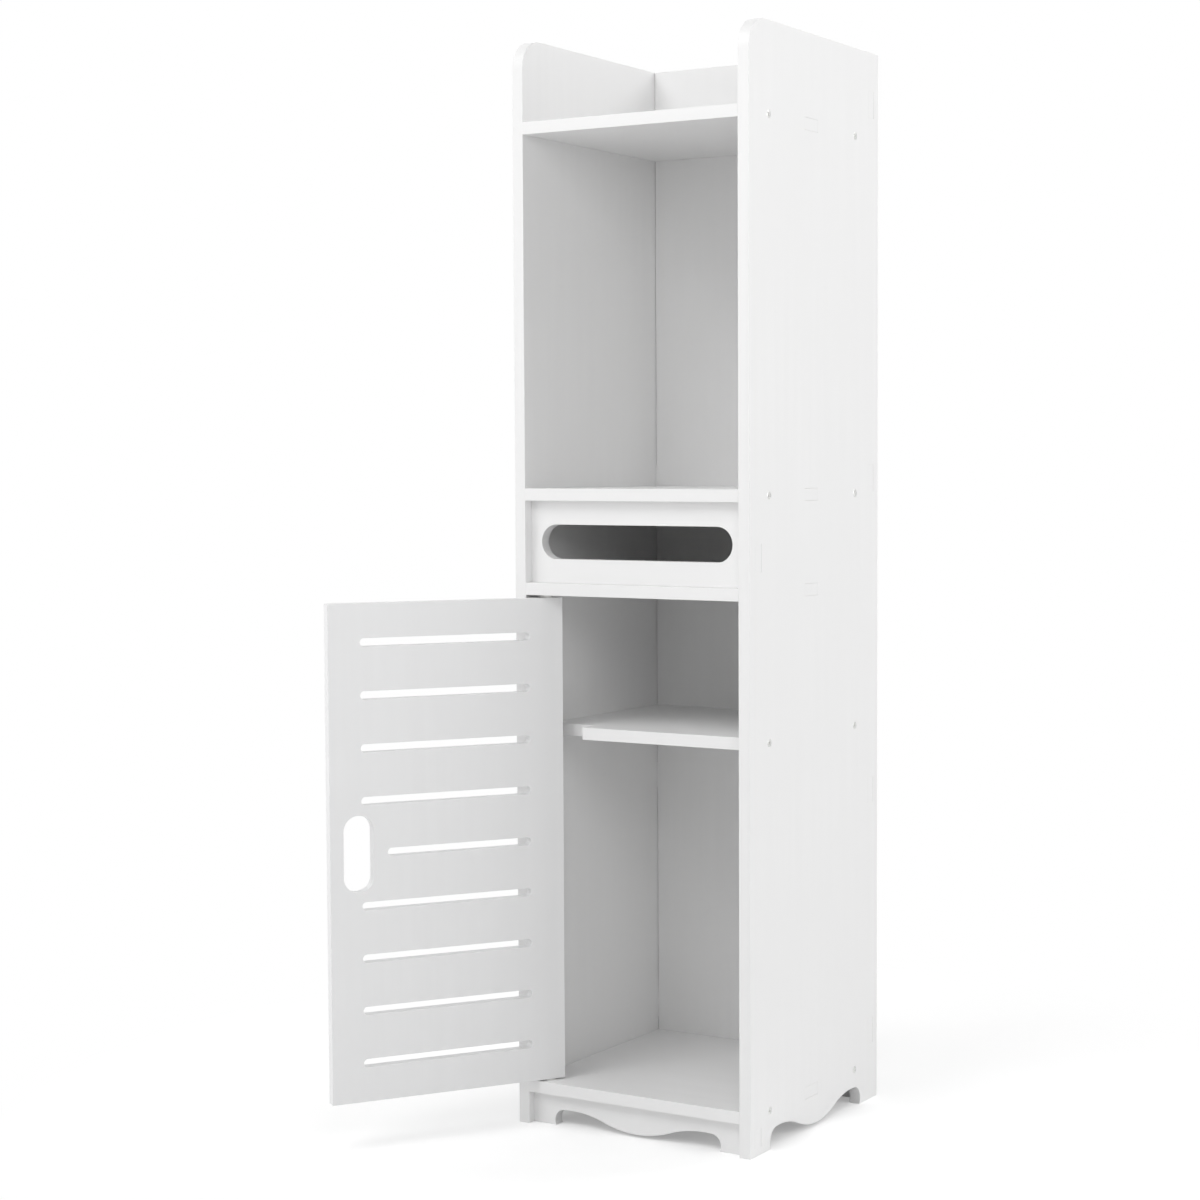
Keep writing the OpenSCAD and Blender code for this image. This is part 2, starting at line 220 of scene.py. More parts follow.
def directed(loop, way):
    """The loop as vectors, running anticlockwise where way is 1 and clockwise where it is -1."""
    points = [Vector(p) for p in loop]
    area = sum(a.cross(b) for a, b in zip(points, points[1:] + points[:1]))
    return points if area * way > 0 else points[::-1]


def mesh_from(name, bm):
    """Turns a finished bmesh into a mesh."""
    mesh = bpy.data.meshes.new(name)
    bm.to_mesh(mesh)
    bm.free()
    return mesh


def plate_mesh(name, outline, holes=()):
    """A flat plate with eased rims. Its outline lies in X and Y, and its middle at Z 0."""
    bm = bmesh.new()
    top, bottom, edges, owners = [], [], [], []
    for number, loop in enumerate([directed(outline, 1), *(directed(h, -1) for h in holes)]):
        first = len(top)
        edges += [(first + i, first + (i + 1) % len(loop)) for i in range(len(loop))]
        owners += [number] * len(loop)
        upper_ring, lower_ring = plate_walls(bm, loop)
        top += upper_ring
        bottom += lower_ring
    flat = [v.co.xy / MM for v in top]
    _, _, triangles, sources, _, _ = delaunay_2d_cdt(flat, edges, [], INSIDE_ONLY, SAME_POINT)
    for triangle in triangles:
        corners = [sources[c][0] for c in triangle]
        touched = {owners[c] for c in corners}
        if len(touched) == 1 and 0 not in touched:
            continue  # all three corners on one hole, so this one would close the hole
        bm.faces.new([top[c] for c in corners])
        bm.faces.new([bottom[c] for c in reversed(corners)])
    bmesh.ops.recalc_face_normals(bm, faces=bm.faces)
    return mesh_from(name, bm)


print(f"a plate's faces lie {EASE} mm inside its outline")

# %% [markdown]
# Boxes, turned shapes and cutting
#
# Pins, bushes and round holes are turned shapes, as on a lathe: a profile of radii and heights,
# spun round an axis. A cylinder would do for a plain hole, but a profile also gives a flange, a
# countersink or an eased end in the same run. Mortises are plain boxes. All of them can serve as
# cutters. The exact boolean solver is used, because it copes with faces that lie in one plane.

# %% Boxes and turned shapes
TURNED_SIDES = 48


def box_mesh(boxes):
    """One mesh of several boxes, each given as its low and high corner in millimetres."""
    bm = bmesh.new()
    for low, high in boxes:
        centre = Vector([(a + b) / 2 * MM for a, b in zip(low, high)])
        size = Matrix.Diagonal((*((b - a) * MM for a, b in zip(low, high)), 1))
        bmesh.ops.create_cube(bm, size=1, matrix=Matrix.Translation(centre) @ size)
    return mesh_from("boxes", bm)


def lathe_mesh(profile, places):
    """Turns a profile of (radius, height) in millimetres round Z, once for each place (a matrix)."""
    bm = bmesh.new()
    turn = [math.tau * i / TURNED_SIDES for i in range(TURNED_SIDES)]
    for place in places:
        rings = []
        for r, z in profile:
            angles = turn if r else turn[:1]  # a point on the axis is there only once
            points = [Vector((r * math.cos(a) * MM, r * math.sin(a) * MM, z * MM)) for a in angles]
            rings.append([bm.verts.new(place @ p) for p in points])
        for one, two in zip(rings, rings[1:]):
            for i in range(TURNED_SIDES):
                j = i + 1
                corners = [one[i % len(one)], one[j % len(one)], two[j % len(two)], two[i % len(two)]]
                bm.faces.new(list(dict.fromkeys(corners)))
    bmesh.ops.recalc_face_normals(bm, faces=bm.faces)
    return mesh_from("turned", bm)


print("sides of a turned shape:", TURNED_SIDES)

# %% Cutting
def object_from(name, data):
    """A new object of that mesh or lamp, in the scene."""
    thing = bpy.data.objects.new(name, data)
    bpy.context.scene.collection.objects.link(thing)
    return thing


def cut(mesh, cutter):
    """The mesh with the cutter's shape taken out of it."""
    base, tool = object_from("base", mesh), object_from("tool", cutter)
    modifier = base.modifiers.new("combine", "BOOLEAN")
    modifier.operation, modifier.object, modifier.solver = "DIFFERENCE", tool, "EXACT"
    graph = bpy.context.evaluated_depsgraph_get()
    result = bpy.data.meshes.new_from_object(base.evaluated_get(graph))
    result.name = mesh.name
    bpy.data.objects.remove(base)
    bpy.data.objects.remove(tool)
    return result


# %% [markdown]
# Screws and holes
#
# Four levels are held by screws, two through each side panel. The head is countersunk, with a
# cross recess, and the thread is a grid of points whose radius rises and falls along a helix.
# The same places serve for the screws and for the holes that they sit in, so the two always meet.
# A countersink is cut a little wider than the head, which leaves the thin dark ring that one sees
# round a real screw. Beside the notch of the inner shelf, the front screw stands behind the notch.
# Every cutter reaches a little past the face that it cuts, so that no thin skin is left there.

# %% Places of the screws
SCREW_R, HEAD_R, SCREW_L, SCREW_SINK, SCREW_FIT, MOUTH_FIT = 2, 4, 40, 0.2, 0.1, 0.4
HEAD_H = HEAD_R - SCREW_R
SCREW_FRONT, SCREW_REAR = 42.5, 57
NOTCH_D, NOTCH_SCREW_GAP = 24.5, 8
PAST = 1
SCREWED = {
    "top_shelf_screws": "top_shelf", "middle_shelf_screws": "middle_shelf",
    "inner_shelf_screws": "inner_shelf", "bottom_board_screws": "bottom_board",
}
shelf_front, shelf_back = span("inner_shelf", Y)
notch_back = shelf_front + NOTCH_D


def screw_places(level, sides=(-1, 1)):
    """A matrix for each screw of one level, with Z out of the side panel and the origin on the head."""
    places = []
    for side in sides:
        behind_notch = side < 0 and level == "inner_shelf"
        front = notch_back + NOTCH_SCREW_GAP if behind_notch else -HALF_D + SCREW_FRONT
        for y in (front, HALF_D - SCREW_REAR):
            spot = Vector((side * (HALF_W - SCREW_SINK), y, middle(level, Z) / MM)) * MM
            places.append(Matrix.Translation(spot) @ Matrix.Rotation(side * math.pi / 2, 4, "Y"))
    return places


def screw_holes(levels, sides=(-1, 1)):
    """A cutter for every screw of these levels."""
    r, mouth_r, end = SCREW_R + SCREW_FIT, HEAD_R + MOUTH_FIT, -SCREW_L - SCREW_FIT
    profile = [(0, end), (r, end), (r, -HEAD_H), (mouth_r, 0), (mouth_r, PAST), (0, PAST)]
    return lathe_mesh(profile, [p for level in levels for p in screw_places(level, sides)])


print("screws:", sum(len(screw_places(level)) for level in SCREWED.values()))

# %% [markdown]
# Side panels
#
# The two side panels carry everything, so every mortise is theirs: for the ends of the four
# tenoned levels, the back panel, the tissue panel and the apron. One list of tenons, as depth and
# height ranges, gives the mortises here and the tenons on the boards below, so the two can't
# drift apart.

# %% Tenons and their mortises
TENON_L, TENON_FIT, REAR_PLAY = 30, 0.08, 0.15
BACK_TENON_ZS = (80, 361, 720, 1142)
TISSUE_TENON_Z, APRON_TENON_Z, APRON_TENON_L = 622, 8.5, 20
LEVELS = ("top_shelf", "middle_shelf", "door_head_shelf", "bottom_board")

BACK_YS, TISSUE_YS, APRON_YS = (span(n, Y) for n in ("back_panel", "tissue_panel", "front_apron"))
LEVEL_MID_Y = (-HALF_D + BACK_YS[0]) / 2
LEVEL_TENON = (LEVEL_MID_Y - TENON_L / 2, LEVEL_MID_Y + TENON_L / 2)
BACK_TENONS = [(z - TENON_L / 2, z + TENON_L / 2) for z in BACK_TENON_ZS]
TISSUE_TENON = (TISSUE_TENON_Z, TISSUE_TENON_Z + TENON_L)
APRON_TENON = (APRON_TENON_Z, APRON_TENON_Z + APRON_TENON_L)
TENON_ENDS = [(LEVEL_TENON, span(level, Z)) for level in LEVELS] + [(BACK_YS, z) for z in BACK_TENONS]
TENON_ENDS += [(TISSUE_YS, TISSUE_TENON), (APRON_YS, APRON_TENON)]


def mortises(side):
    """A cutter for each mortise of one side panel: a tenon's box with its fit all round."""
    near, far = sorted((side * (INNER_X - PAST), side * (HALF_W + PAST)))
    boxes = []
    for ys, zs in TENON_ENDS:
        low = (near, ys[0] - TENON_FIT, zs[0] - TENON_FIT)
        boxes.append((low, (far, ys[1] + TENON_FIT + REAR_PLAY, zs[1] + TENON_FIT)))
    return box_mesh(boxes)


print("mortises in each side panel:", len(TENON_ENDS))

# %% [markdown]
# Standing a board up
#
# A board is drawn flat and then stood up: across X for the side panels, across Y for the upright
# boards between them, and lying for the shelves. Faces that look the way the skin looks are skin,
# and all others are cut edges. The line that is printed for each board compares it with the node
# that it stands for: the same box, and no edge left open. Only the door's box is a hair smaller,
# because the door stands at an angle and its box is measured at its eased corners.

# %% Smooth, measure and attach a piece
LITRES = 1000
SHARP_ANGLE = math.radians(40)


def smooth_between_sharp_edges(mesh):
    """Shades a mesh smooth, but for the edges where it turns sharply."""
    mesh.polygons.foreach_set("use_smooth", [True] * len(mesh.polygons))
    mesh.set_sharp_from_angle(angle=SHARP_ANGLE)


def measured(mesh):
    """A mesh's volume in litres, and how many of its edges don't join just two faces."""
    bm = bmesh.new()
    bm.from_mesh(mesh)
    litres = bm.calc_volume() * LITRES
    open_edges = sum(1 for e in bm.edges if len(e.link_faces) != 2)
    bm.free()
    return litres, open_edges


def stand_for(piece, node, body):
    """Hangs the piece on its body, so that it moves with it, and hides the node that it stands for."""
    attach(piece, body)
    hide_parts(node)


print("edges stay sharp from", round(math.degrees(SHARP_ANGLE)), "degrees")

# %% Boards in their places
ACROSS_X = Matrix(((0, 0, 1), (1, 0, 0), (0, 1, 0))).to_4x4()
ACROSS_Y = Matrix.Rotation(math.pi / 2, 4, "X")
SQUARE_ENOUGH = 0.9
boards = {}


def add_board(node, mesh, body, skin_axis):
    """Makes the board that stands for a node, with its skin and its cut edges told apart."""
    board = object_from(node + "_board", mesh)
    for face in mesh.polygons:
        face.material_index = 0 if abs(face.normal.dot(skin_axis)) > SQUARE_ENOUGH else 1
    smooth_between_sharp_edges(mesh)
    shading = board.modifiers.new("flat faces", "WEIGHTED_NORMAL")
    shading.keep_sharp = True
    litres, open_edges = measured(mesh)
    off = 0
    for pick, corner in zip((min, max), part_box(node)):
        off = max(off, *(abs(pick(v.co[i] for v in mesh.vertices) - corner[i]) for i in (X, Y, Z)))
    print(f"{node}: {litres:.3f} l, box off by {off / MM:.3f} mm, open edges {open_edges}")
    stand_for(board, node, body)
    boards[node] = board


print("a face is skin within", round(math.degrees(math.acos(SQUARE_ENOUGH))), "degrees of square")

# %% [markdown]
# Cutting the side panels
#
# The side panels get their outline, then their mortises and then the countersunk screw holes. The
# mortises go right through, so the ends of the tenons show on the outer face as faint outlines.

# %% Side panels
X_AXIS, Y_AXIS, Z_AXIS = Vector((1, 0, 0)), Vector((0, 1, 0)), Vector((0, 0, 1))
for side, node in ((-1, "left_side_panel"), (1, "right_side_panel")):
    mesh = plate_mesh(node, side_outline)
    mesh.transform(Matrix.Translation((middle(node, X), 0, 0)) @ ACROSS_X)
    mesh = cut(mesh, mortises(side))
    mesh = cut(mesh, screw_holes(SCREWED.values(), (side,)))
    add_board(node, mesh, "cabinet", X_AXIS)

# %% [markdown]
# Boards between the side panels
#
# Every other board spans the inner width, and its tenons are tabs at the two ends of its outline.
# The levels are lying boards with straight edges. The back panel and the apron share the
# scalloped lower edge, and the tissue panel has one long slot with round ends. The inner shelf has
# no tenons: its notch at the front left makes room for the door's hinge edge. The back panel stops
# a hair short of the side panels, because only its tenons touch them. That gap is the fine dark
# line in the corners of the compartments. A painted line could give it too, but a gap is also right
# from behind and in any light.

# %% Outlines with tenons, and the holes of the bushes
BUSH_R, BUSH_FIT = 4.05, 0.05
pivot = Vector((middle("upper_pivot_pin", X), middle("upper_pivot_pin", Y), 0))
head_low, bottom_high = span("door_head_shelf", Z)[0], span("bottom_board", Z)[1]
upper_bush, lower_bush = span("upper_pivot_bush", Z), span("lower_pivot_bush", Z)
BUSH_HOLES = {
    "door_head_shelf": (head_low - PAST, upper_bush[1] + BUSH_FIT),
    "bottom_board": (lower_bush[0] - BUSH_FIT, bottom_high + PAST),
}


def straight(v):
    """A straight lower edge over the inner width."""
    return [(-INNER_X, v), (INNER_X, v)]


def tenoned_outline(lower_edge, high, tenons):
    """An outline from its lower edge, left to right, up to high, with tabs at both ends."""
    end = lower_edge[-1][0]
    rise = [p for low, top in tenons for p in ((end, low), (HALF_W, low), (HALF_W, top), (end, top))]
    rise.append((end, high))
    return [*lower_edge, *rise, *((-x, v) for x, v in reversed(rise))]


def bush_hole(low, high):
    """A cutter for the blind hole that a bush is let into, between two heights in millimetres."""
    profile = [(0, low), (BUSH_R, low), (BUSH_R, high), (0, high)]
    return lathe_mesh(profile, [Matrix.Translation(pivot)])


print(f"pivot axis at {pivot.x / MM:.1f}, {pivot.y / MM:.1f} mm")

# %% Levels with tenons
for node in LEVELS:
    mesh = plate_mesh(node, tenoned_outline(straight(-HALF_D), BACK_YS[0], [LEVEL_TENON]))
    mesh.transform(Matrix.Translation((0, 0, middle(node, Z))))
    if node in SCREWED.values():
        mesh = cut(mesh, screw_holes([node]))
    if node in BUSH_HOLES:
        mesh = cut(mesh, bush_hole(*BUSH_HOLES[node]))
    add_board(node, mesh, "cabinet", Z_AXIS)

# %% Inner shelf
NOTCH_W = 60
notch_side = NOTCH_W - INNER_X
outline = [(notch_side, shelf_front), (INNER_X, shelf_front), (INNER_X, shelf_back)]
outline += [(-INNER_X, shelf_back), (-INNER_X, notch_back), (notch_side, notch_back)]
mesh = plate_mesh("inner_shelf", outline)
mesh.transform(Matrix.Translation((0, 0, middle("inner_shelf", Z))))
mesh = cut(mesh, screw_holes(["inner_shelf"]))
add_board("inner_shelf", mesh, "cabinet", Z_AXIS)

# %% Back panel, apron and tissue panel
APRON_FOOT, APRON_PEAK, APRON_DROP, APRON_SHOULDER_R = 28.5, 18.5, 3.5, 12
SLOT_MARGIN, TISSUE_SLOT_H, BACK_GAP = 14, 38, 0.5


def add_upright(node, outline, holes=()):
    """A board that stands from left to right, at its node's depth."""
    mesh = plate_mesh(node, outline, holes)
    mesh.transform(Matrix.Translation((0, middle(node, Y), 0)) @ ACROSS_Y)
    add_board(node, mesh, "cabinet", Y_AXIS)


apron_scallop = scallop(INNER_X - APRON_FOOT, APRON_PEAK, APRON_DROP, APRON_SHOULDER_R)
apron_edge = [(-INNER_X, 0), *apron_scallop, (INNER_X, 0)]
back_end = INNER_X - BACK_GAP
back_edge = [(-back_end, 0), *apron_scallop, (back_end, 0)]
tissue_low, tissue_high = span("tissue_panel", Z)
tissue_outline = tenoned_outline(straight(tissue_low), tissue_high, [TISSUE_TENON])
slot_z, slot_l = (tissue_low + tissue_high) / 2, 2 * (INNER_X - SLOT_MARGIN)
add_upright("back_panel", tenoned_outline(back_edge, TOP_Z, BACK_TENONS))
add_upright("front_apron", tenoned_outline(apron_edge, span("front_apron", Z)[1], [APRON_TENON]))
add_upright("tissue_panel", tissue_outline, [rounded_slot(0, slot_z, slot_l, TISSUE_SLOT_H)])

# %% [markdown]
# Door
#
# The door is one board with nine louvre slots cut right through it. The middle slot is shorter and
# leaves room for the upright finger hole near the free edge. It is drawn flat with the pivot axis
# at zero, bored for its two pins, and then turned to the angle at which it stands open.

# %% Outline, louvre slots and finger hole of the door
PIVOT_INSET, DOOR_W = 16.2, 267.4
SLOT_COUNT, SLOT_H, SLOT_END_MARGIN = 9, 9, 37.5
SLOT_HINGE_MARGIN, SLOT_FREE_MARGIN, SHORT_SLOT_GAP = 39, 35, 16
FINGER_W, FINGER_H, FINGER_MARGIN = 33, 83, 15

door_low, door_high = span("door_panel", Z)
door_mid = (door_low + door_high) / 2
hinge_x, free_x = -PIVOT_INSET, DOOR_W - PIVOT_INSET
door_outline = [(hinge_x, door_low), (free_x, door_low), (free_x, door_high), (hinge_x, door_high)]
slots_start, slots_end = hinge_x + SLOT_HINGE_MARGIN, free_x - SLOT_FREE_MARGIN
finger_x = free_x - FINGER_MARGIN - FINGER_W / 2
short_end = finger_x - FINGER_W / 2 - SHORT_SLOT_GAP
pitch = (door_high - door_low - 2 * SLOT_END_MARGIN - SLOT_H) / (SLOT_COUNT - 1)
door_holes = [rounded_slot(finger_x, door_mid, FINGER_W, FINGER_H)]
for i in range(SLOT_COUNT):
    step = i - (SLOT_COUNT - 1) / 2
    end = short_end if step == 0 else slots_end
    slot_z = door_mid + step * pitch
    door_holes.append(rounded_slot((slots_start + end) / 2, slot_z, end - slots_start, SLOT_H))
print(f"louvre slots: {SLOT_COUNT}, {pitch:.2f} mm apart")

# %% Door
DOOR_OPEN = 123.8
PIN_R, PIN_FIT, PIN_IN_DOOR = 2.5, 0.05, 22

mesh = plate_mesh("door_panel", door_outline, door_holes)
mesh.transform(ACROSS_Y)
bore_r = PIN_R + PIN_FIT
bores = ((door_low - PAST, door_low + PIN_IN_DOOR), (door_high - PIN_IN_DOOR, door_high + PAST))
for low, high in bores:
    bore = lathe_mesh([(0, low), (bore_r, low), (bore_r, high), (0, high)], [Matrix.Identity(4)])
    mesh = cut(mesh, bore)
door_turn = Matrix.Rotation(-math.radians(DOOR_OPEN), 4, "Z")
mesh.transform(Matrix.Translation(pivot) @ door_turn)
add_board("door_panel", mesh, "door", door_turn @ Y_AXIS)

# %% [markdown]
# Pivot pins and bushes
#
# The door turns on two steel pins. They are pressed into its top and bottom edges and stand 9 mm
# out, into nylon bushes in the boards above and below. All four are turned shapes, so each is a
# profile spun round the pivot axis. The upper bush's flange is what fills most of the gap over the
# door, which makes it the only one that shows.

# %% Profiles of pins and bushes
FLANGE_R, NYLON_FLOOR, RUNNING_FIT, PIN_EASE, BUSH_EASE = 7, 1, 0.08, 0.6, 0.25


def eased(r, z, out, up, ease, steps=4):
    """A rounded corner at (r, z). out and up say where the corner points, each 1 or -1."""
    turns = [math.pi / 2 * i / steps for i in range(steps + 1)]
    return [(r - out * ease * (1 - math.sin(t)), z - up * ease * (1 - math.cos(t))) for t in turns]


def pin_profile(low, high):
    """A plain pin with eased ends."""
    lower_end = eased(PIN_R, low, 1, -1, PIN_EASE)
    return [(0, low), *lower_end, *reversed(eased(PIN_R, high, 1, 1, PIN_EASE)), (0, high)]


def bush_profile(flange_face, board_face, closed_end):
    """A sleeve with a flange and a closed end, from the closed end round to the bore."""
    up = 1 if closed_end > flange_face else -1
    sleeve_r, bore_r = BUSH_R - BUSH_FIT, PIN_R + RUNNING_FIT
    bore_end = closed_end - up * NYLON_FLOOR
    profile = [(0, closed_end), *eased(sleeve_r, closed_end, 1, up, BUSH_EASE), (sleeve_r, board_face)]
    profile += [(FLANGE_R, board_face), *reversed(eased(FLANGE_R, flange_face, 1, -up, BUSH_EASE))]
    profile += [*eased(bore_r, flange_face, -1, -up, BUSH_EASE), (bore_r, bore_end), (0, bore_end)]
    return profile


upper_profile = bush_profile(upper_bush[0], head_low, upper_bush[1])
lower_profile = bush_profile(lower_bush[1], bottom_high, lower_bush[0])
print("points in a bush's profile:", len(upper_profile))

# %% Pins and bushes
PIN_NODES = ("upper_pivot_pin", "lower_pivot_pin")


def turned_piece(node, profile, body):
    """A profile spun round the pivot axis, standing for a node."""
    mesh = lathe_mesh(profile, [Matrix.Translation(pivot)])
    piece = object_from(node + "_turned", mesh)
    smooth_between_sharp_edges(mesh)
    litres, open_edges = measured(mesh)
    print(f"{node}: {litres:.5f} l, open edges {open_edges}")
    stand_for(piece, node, body)
    return piece


pins = [turned_piece(n, pin_profile(*span(n, Z)), "door") for n in PIN_NODES]
bushes = [
    turned_piece("upper_pivot_bush", upper_profile, "cabinet"),
    turned_piece("lower_pivot_bush", lower_profile, "cabinet"),
]

# %% [markdown]
# Screws
#
# A countersunk screw is three shapes in one run of rings: the flat head, the cone under it, and
# the thread, whose radius goes up and down with the angle as well as with the depth. That is what
# makes a helix of it. The cross recess is cut afterwards, and its walls get a near-black material of
# their own, which is painted shade, because at this size a recess reads as a small dark mark and
# not as a shape. Only the heads show, but a screw taken out of the board should still be a screw.

# %% Head and thread
RIM_IN, RIM_DOWN, RIM_H = 0.15, 0.12, 0.25
FILLET_OUT, FILLET_UP, FILLET_DOWN = 0.3, 0.1, 0.4
NECK_L, TIP_L, TIP_R = 4, 5, 0.05
THREAD_L = SCREW_L - HEAD_H - NECK_L
THREAD_PITCH, THREAD_DEPTH, THREAD_RUN_IN, CREST_SHARPNESS = 1.8, 0.5, 2, 3.2


def closed_tube(name, rings):
    """A mesh of equally long rings of points, in metres, joined by walls and closed at both ends."""
    bm = bmesh.new()
    rings = [[bm.verts.new(p) for p in ring] for ring in rings]
    for upper, lower in zip(rings, rings[1:]):
        for i in range(len(upper)):
            bm.faces.new((upper[i - 1], upper[i], lower[i], lower[i - 1]))
    bm.faces.new(rings[0])
    bm.faces.new(rings[-1])
    bmesh.ops.recalc_face_normals(bm, faces=bm.faces)
    return mesh_from(name, bm)


def thread_radius(z, angle):
    """Radius of the screw at one depth under its head's face and one angle."""
    to_tip = min(1, (z + SCREW_L) / TIP_L)
    along = (z / THREAD_PITCH + angle / math.tau) % 1
    crest = max(0, 1 - CREST_SHARPNESS * abs(along - 0.5))
    cut_in = min(1, max(0, (-HEAD_H - NECK_L - z) / THREAD_RUN_IN))
    return to_tip * (SCREW_R - THREAD_DEPTH * cut_in * (1 - crest)) + TIP_R


def screw_mesh(steps=24, rings_a_turn=7):
    """A threaded screw with its head's face at the origin, pointing down."""
    angles = [math.tau * i / steps for i in range(steps)]
    head = [(HEAD_R - RIM_IN, 0), (HEAD_R, -RIM_DOWN), (HEAD_R, -RIM_H)]
    neck = [(SCREW_R + FILLET_OUT, -HEAD_H + FILLET_UP), (SCREW_R, -HEAD_H - FILLET_DOWN)]
    rings = [[(r * math.cos(a), r * math.sin(a), z) for a in angles] for r, z in head + neck]
    count = int(THREAD_L / THREAD_PITCH * rings_a_turn)
    for i in range(count + 1):
        z = -HEAD_H - NECK_L - THREAD_L * i / count
        radii = [thread_radius(z, a) for a in angles]
        rings.append([(r * math.cos(a), r * math.sin(a), z) for r, a in zip(radii, angles)])
    return closed_tube("screw", [[Vector(p) * MM for p in ring] for ring in rings])


print(f"thread: {THREAD_L} mm long, {THREAD_L / THREAD_PITCH:.1f} turns")

# %% One screw with its cross recess
RECESS_L, RECESS_W, RECESS_DEPTH, RECESS_PAST = 5, 1.5, 1.6, 0.5
FOOT_SHARE_L, FOOT_SHARE_W = 0.5, 0.6
HAIR = 0.01


def recess_mesh():
    """A cutter for the cross recess, narrower at its foot than at its mouth."""
    mouth, foot = (RECESS_L, RECESS_W), (RECESS_L * FOOT_SHARE_L, RECESS_W * FOOT_SHARE_W)
    rings = []
    for (length, width), z in ((mouth, RECESS_PAST), (mouth, 0), (foot, -RECESS_DEPTH)):
        a, b = length / 2, width / 2
        arm = [Vector((a, -b)), Vector((a, b)), Vector((b, b))]
        corners = [Matrix.Rotation(math.pi / 2 * i, 2) @ p for i in range(4) for p in arm]
        rings.append([(*c * MM, z * MM) for c in corners])
    return closed_tube("recess", rings)


one_screw = cut(screw_mesh(), recess_mesh())
# The faces of the recess get the second material, whose near-black colour is painted shade.
for face in one_screw.polygons:
    spot = face.center / MM
    in_painted_recess_shade = -RECESS_DEPTH - HAIR < spot.z < -HAIR and spot.xy.length < SCREW_R
    face.material_index = 1 if in_painted_recess_shade else 0
print(f"one screw: {len(one_screw.polygons)} faces, open edges {measured(one_screw)[1]}")

# %% [markdown]
# Four screws for each level
#
# The frame has one node for the four screws of a level, so they are one piece here too: four
# copies of the one screw, each set into its place. Copies that share one mesh would save memory,
# but they would be four pieces. Each head is turned by an angle of its own, because nobody lines up
# the recesses of real screws.

# %% Four screws for each level
FIRST_TURN, NEXT_TURN = 0.4, 1.3
screws = []
for node, level in SCREWED.items():
    bm = bmesh.new()
    for number, place in enumerate(screw_places(level)):
        turn = FIRST_TURN + NEXT_TURN * number + middle(level, Z) / MM
        copy = one_screw.copy()
        copy.transform(place @ Matrix.Rotation(turn, 4, "Z"))
        bm.from_mesh(copy)
    mesh = mesh_from(node, bm)
    smooth_between_sharp_edges(mesh)
    piece = object_from(node + "_threaded", mesh)
    stand_for(piece, node, "cabinet")
    screws.append(piece)
    print(f"{node}: {len(mesh.polygons)} faces")

# %% [markdown]
# The boards' finish
#
# Foamed board leaves the press with a closed satin skin: slightly uneven in gloss, with a faint
# orange peel and fainter streaks along the board, the way it was drawn. Where a saw or cutter has
# been, the foam's fine cells are open, so a cut edge is duller, a trace darker in its pores and
# carries the cutter's marks. The two are separate materials on one board. Their patterns are noise
# in the board's own coordinates, so they move with the door.

# %% An empty material
def new_material(name):
    """A new material, its shader, and functions that add a node and link two sockets."""
    material = bpy.data.materials.new(name)
    material.use_nodes = True
    tree = material.node_tree
    shader = tree.nodes["Principled BSDF"]

    def add(kind, inputs=None, **settings):
        node = tree.nodes.new("ShaderNode" + kind)
        for key, value in settings.items():
            setattr(node, key, value)
        for key, value in (inputs or {}).items():
            if isinstance(value, bpy.types.NodeSocket):
                tree.links.new(value, node.inputs[key])
            else:
                node.inputs[key].default_value = value
        return node

    return material, shader, add, tree.links.new


print("materials before the finish:", len(bpy.data.materials))

# %% Noise, ranges, colours and relief
EVEN = (1, 1, 1)
NOISE_LOW, NOISE_HIGH = 0.35, 0.65


def noise_along(add, stretch, scale, detail):
    """Noise in the object's coordinates, about scale cells to a metre, stretched by three factors."""
    place = add("TexCoord").outputs["Object"]
    squeezed = add("Mapping", {"Vector": place, "Scale": stretch})
    noise = add("TexNoise", {"Vector": squeezed.outputs["Vector"], "Scale": scale, "Detail": detail})
    return noise.outputs["Fac"]


def ranged(add, value, low, high, start=NOISE_LOW, end=NOISE_HIGH):
    """A value between start and end brought into low to high."""
    inputs = {"Value": value, "From Min": start, "From Max": end, "To Min": low, "To Max": high}
    return add("MapRange", inputs).outputs["Result"]


def mixed(add, value, darker, lighter):
    """A colour between two, chosen by value from 0 to 1."""
    ramp = add("ValToRGB", {"Fac": value})
    first, last = ramp.color_ramp.elements
    first.color, last.color = (*darker, 1), (*lighter, 1)
    return ramp.outputs["Color"]


def relief(shader, add, link, height, strength, depth):
    """Small bumps in the surface, as deep as depth in metres."""
    bump = add("Bump", {"Height": height, "Strength": strength, "Distance": depth})
    link(bump.outputs["Normal"], shader.inputs["Normal"])


print("most noise lies between", NOISE_LOW, "and", NOISE_HIGH)

# %% Skin of the boards
BOARD_IOR, SHADE_BASE, STREAK_RELIEF = 1.46, 0.15, 0.5
BOARD_DARK, BOARD_LIGHT, BOARD_ROUGHNESS = (0.853, 0.852, 0.851), (0.867, 0.866, 0.865), (0.36, 0.48)
DOOR_DARK, DOOR_LIGHT, DOOR_ROUGHNESS = (0.853, 0.854, 0.856), (0.867, 0.868, 0.87), (0.32, 0.42)
ALONG_Z, ALONG_X = (1, 1, 0.04), (0.04, 1, 1)


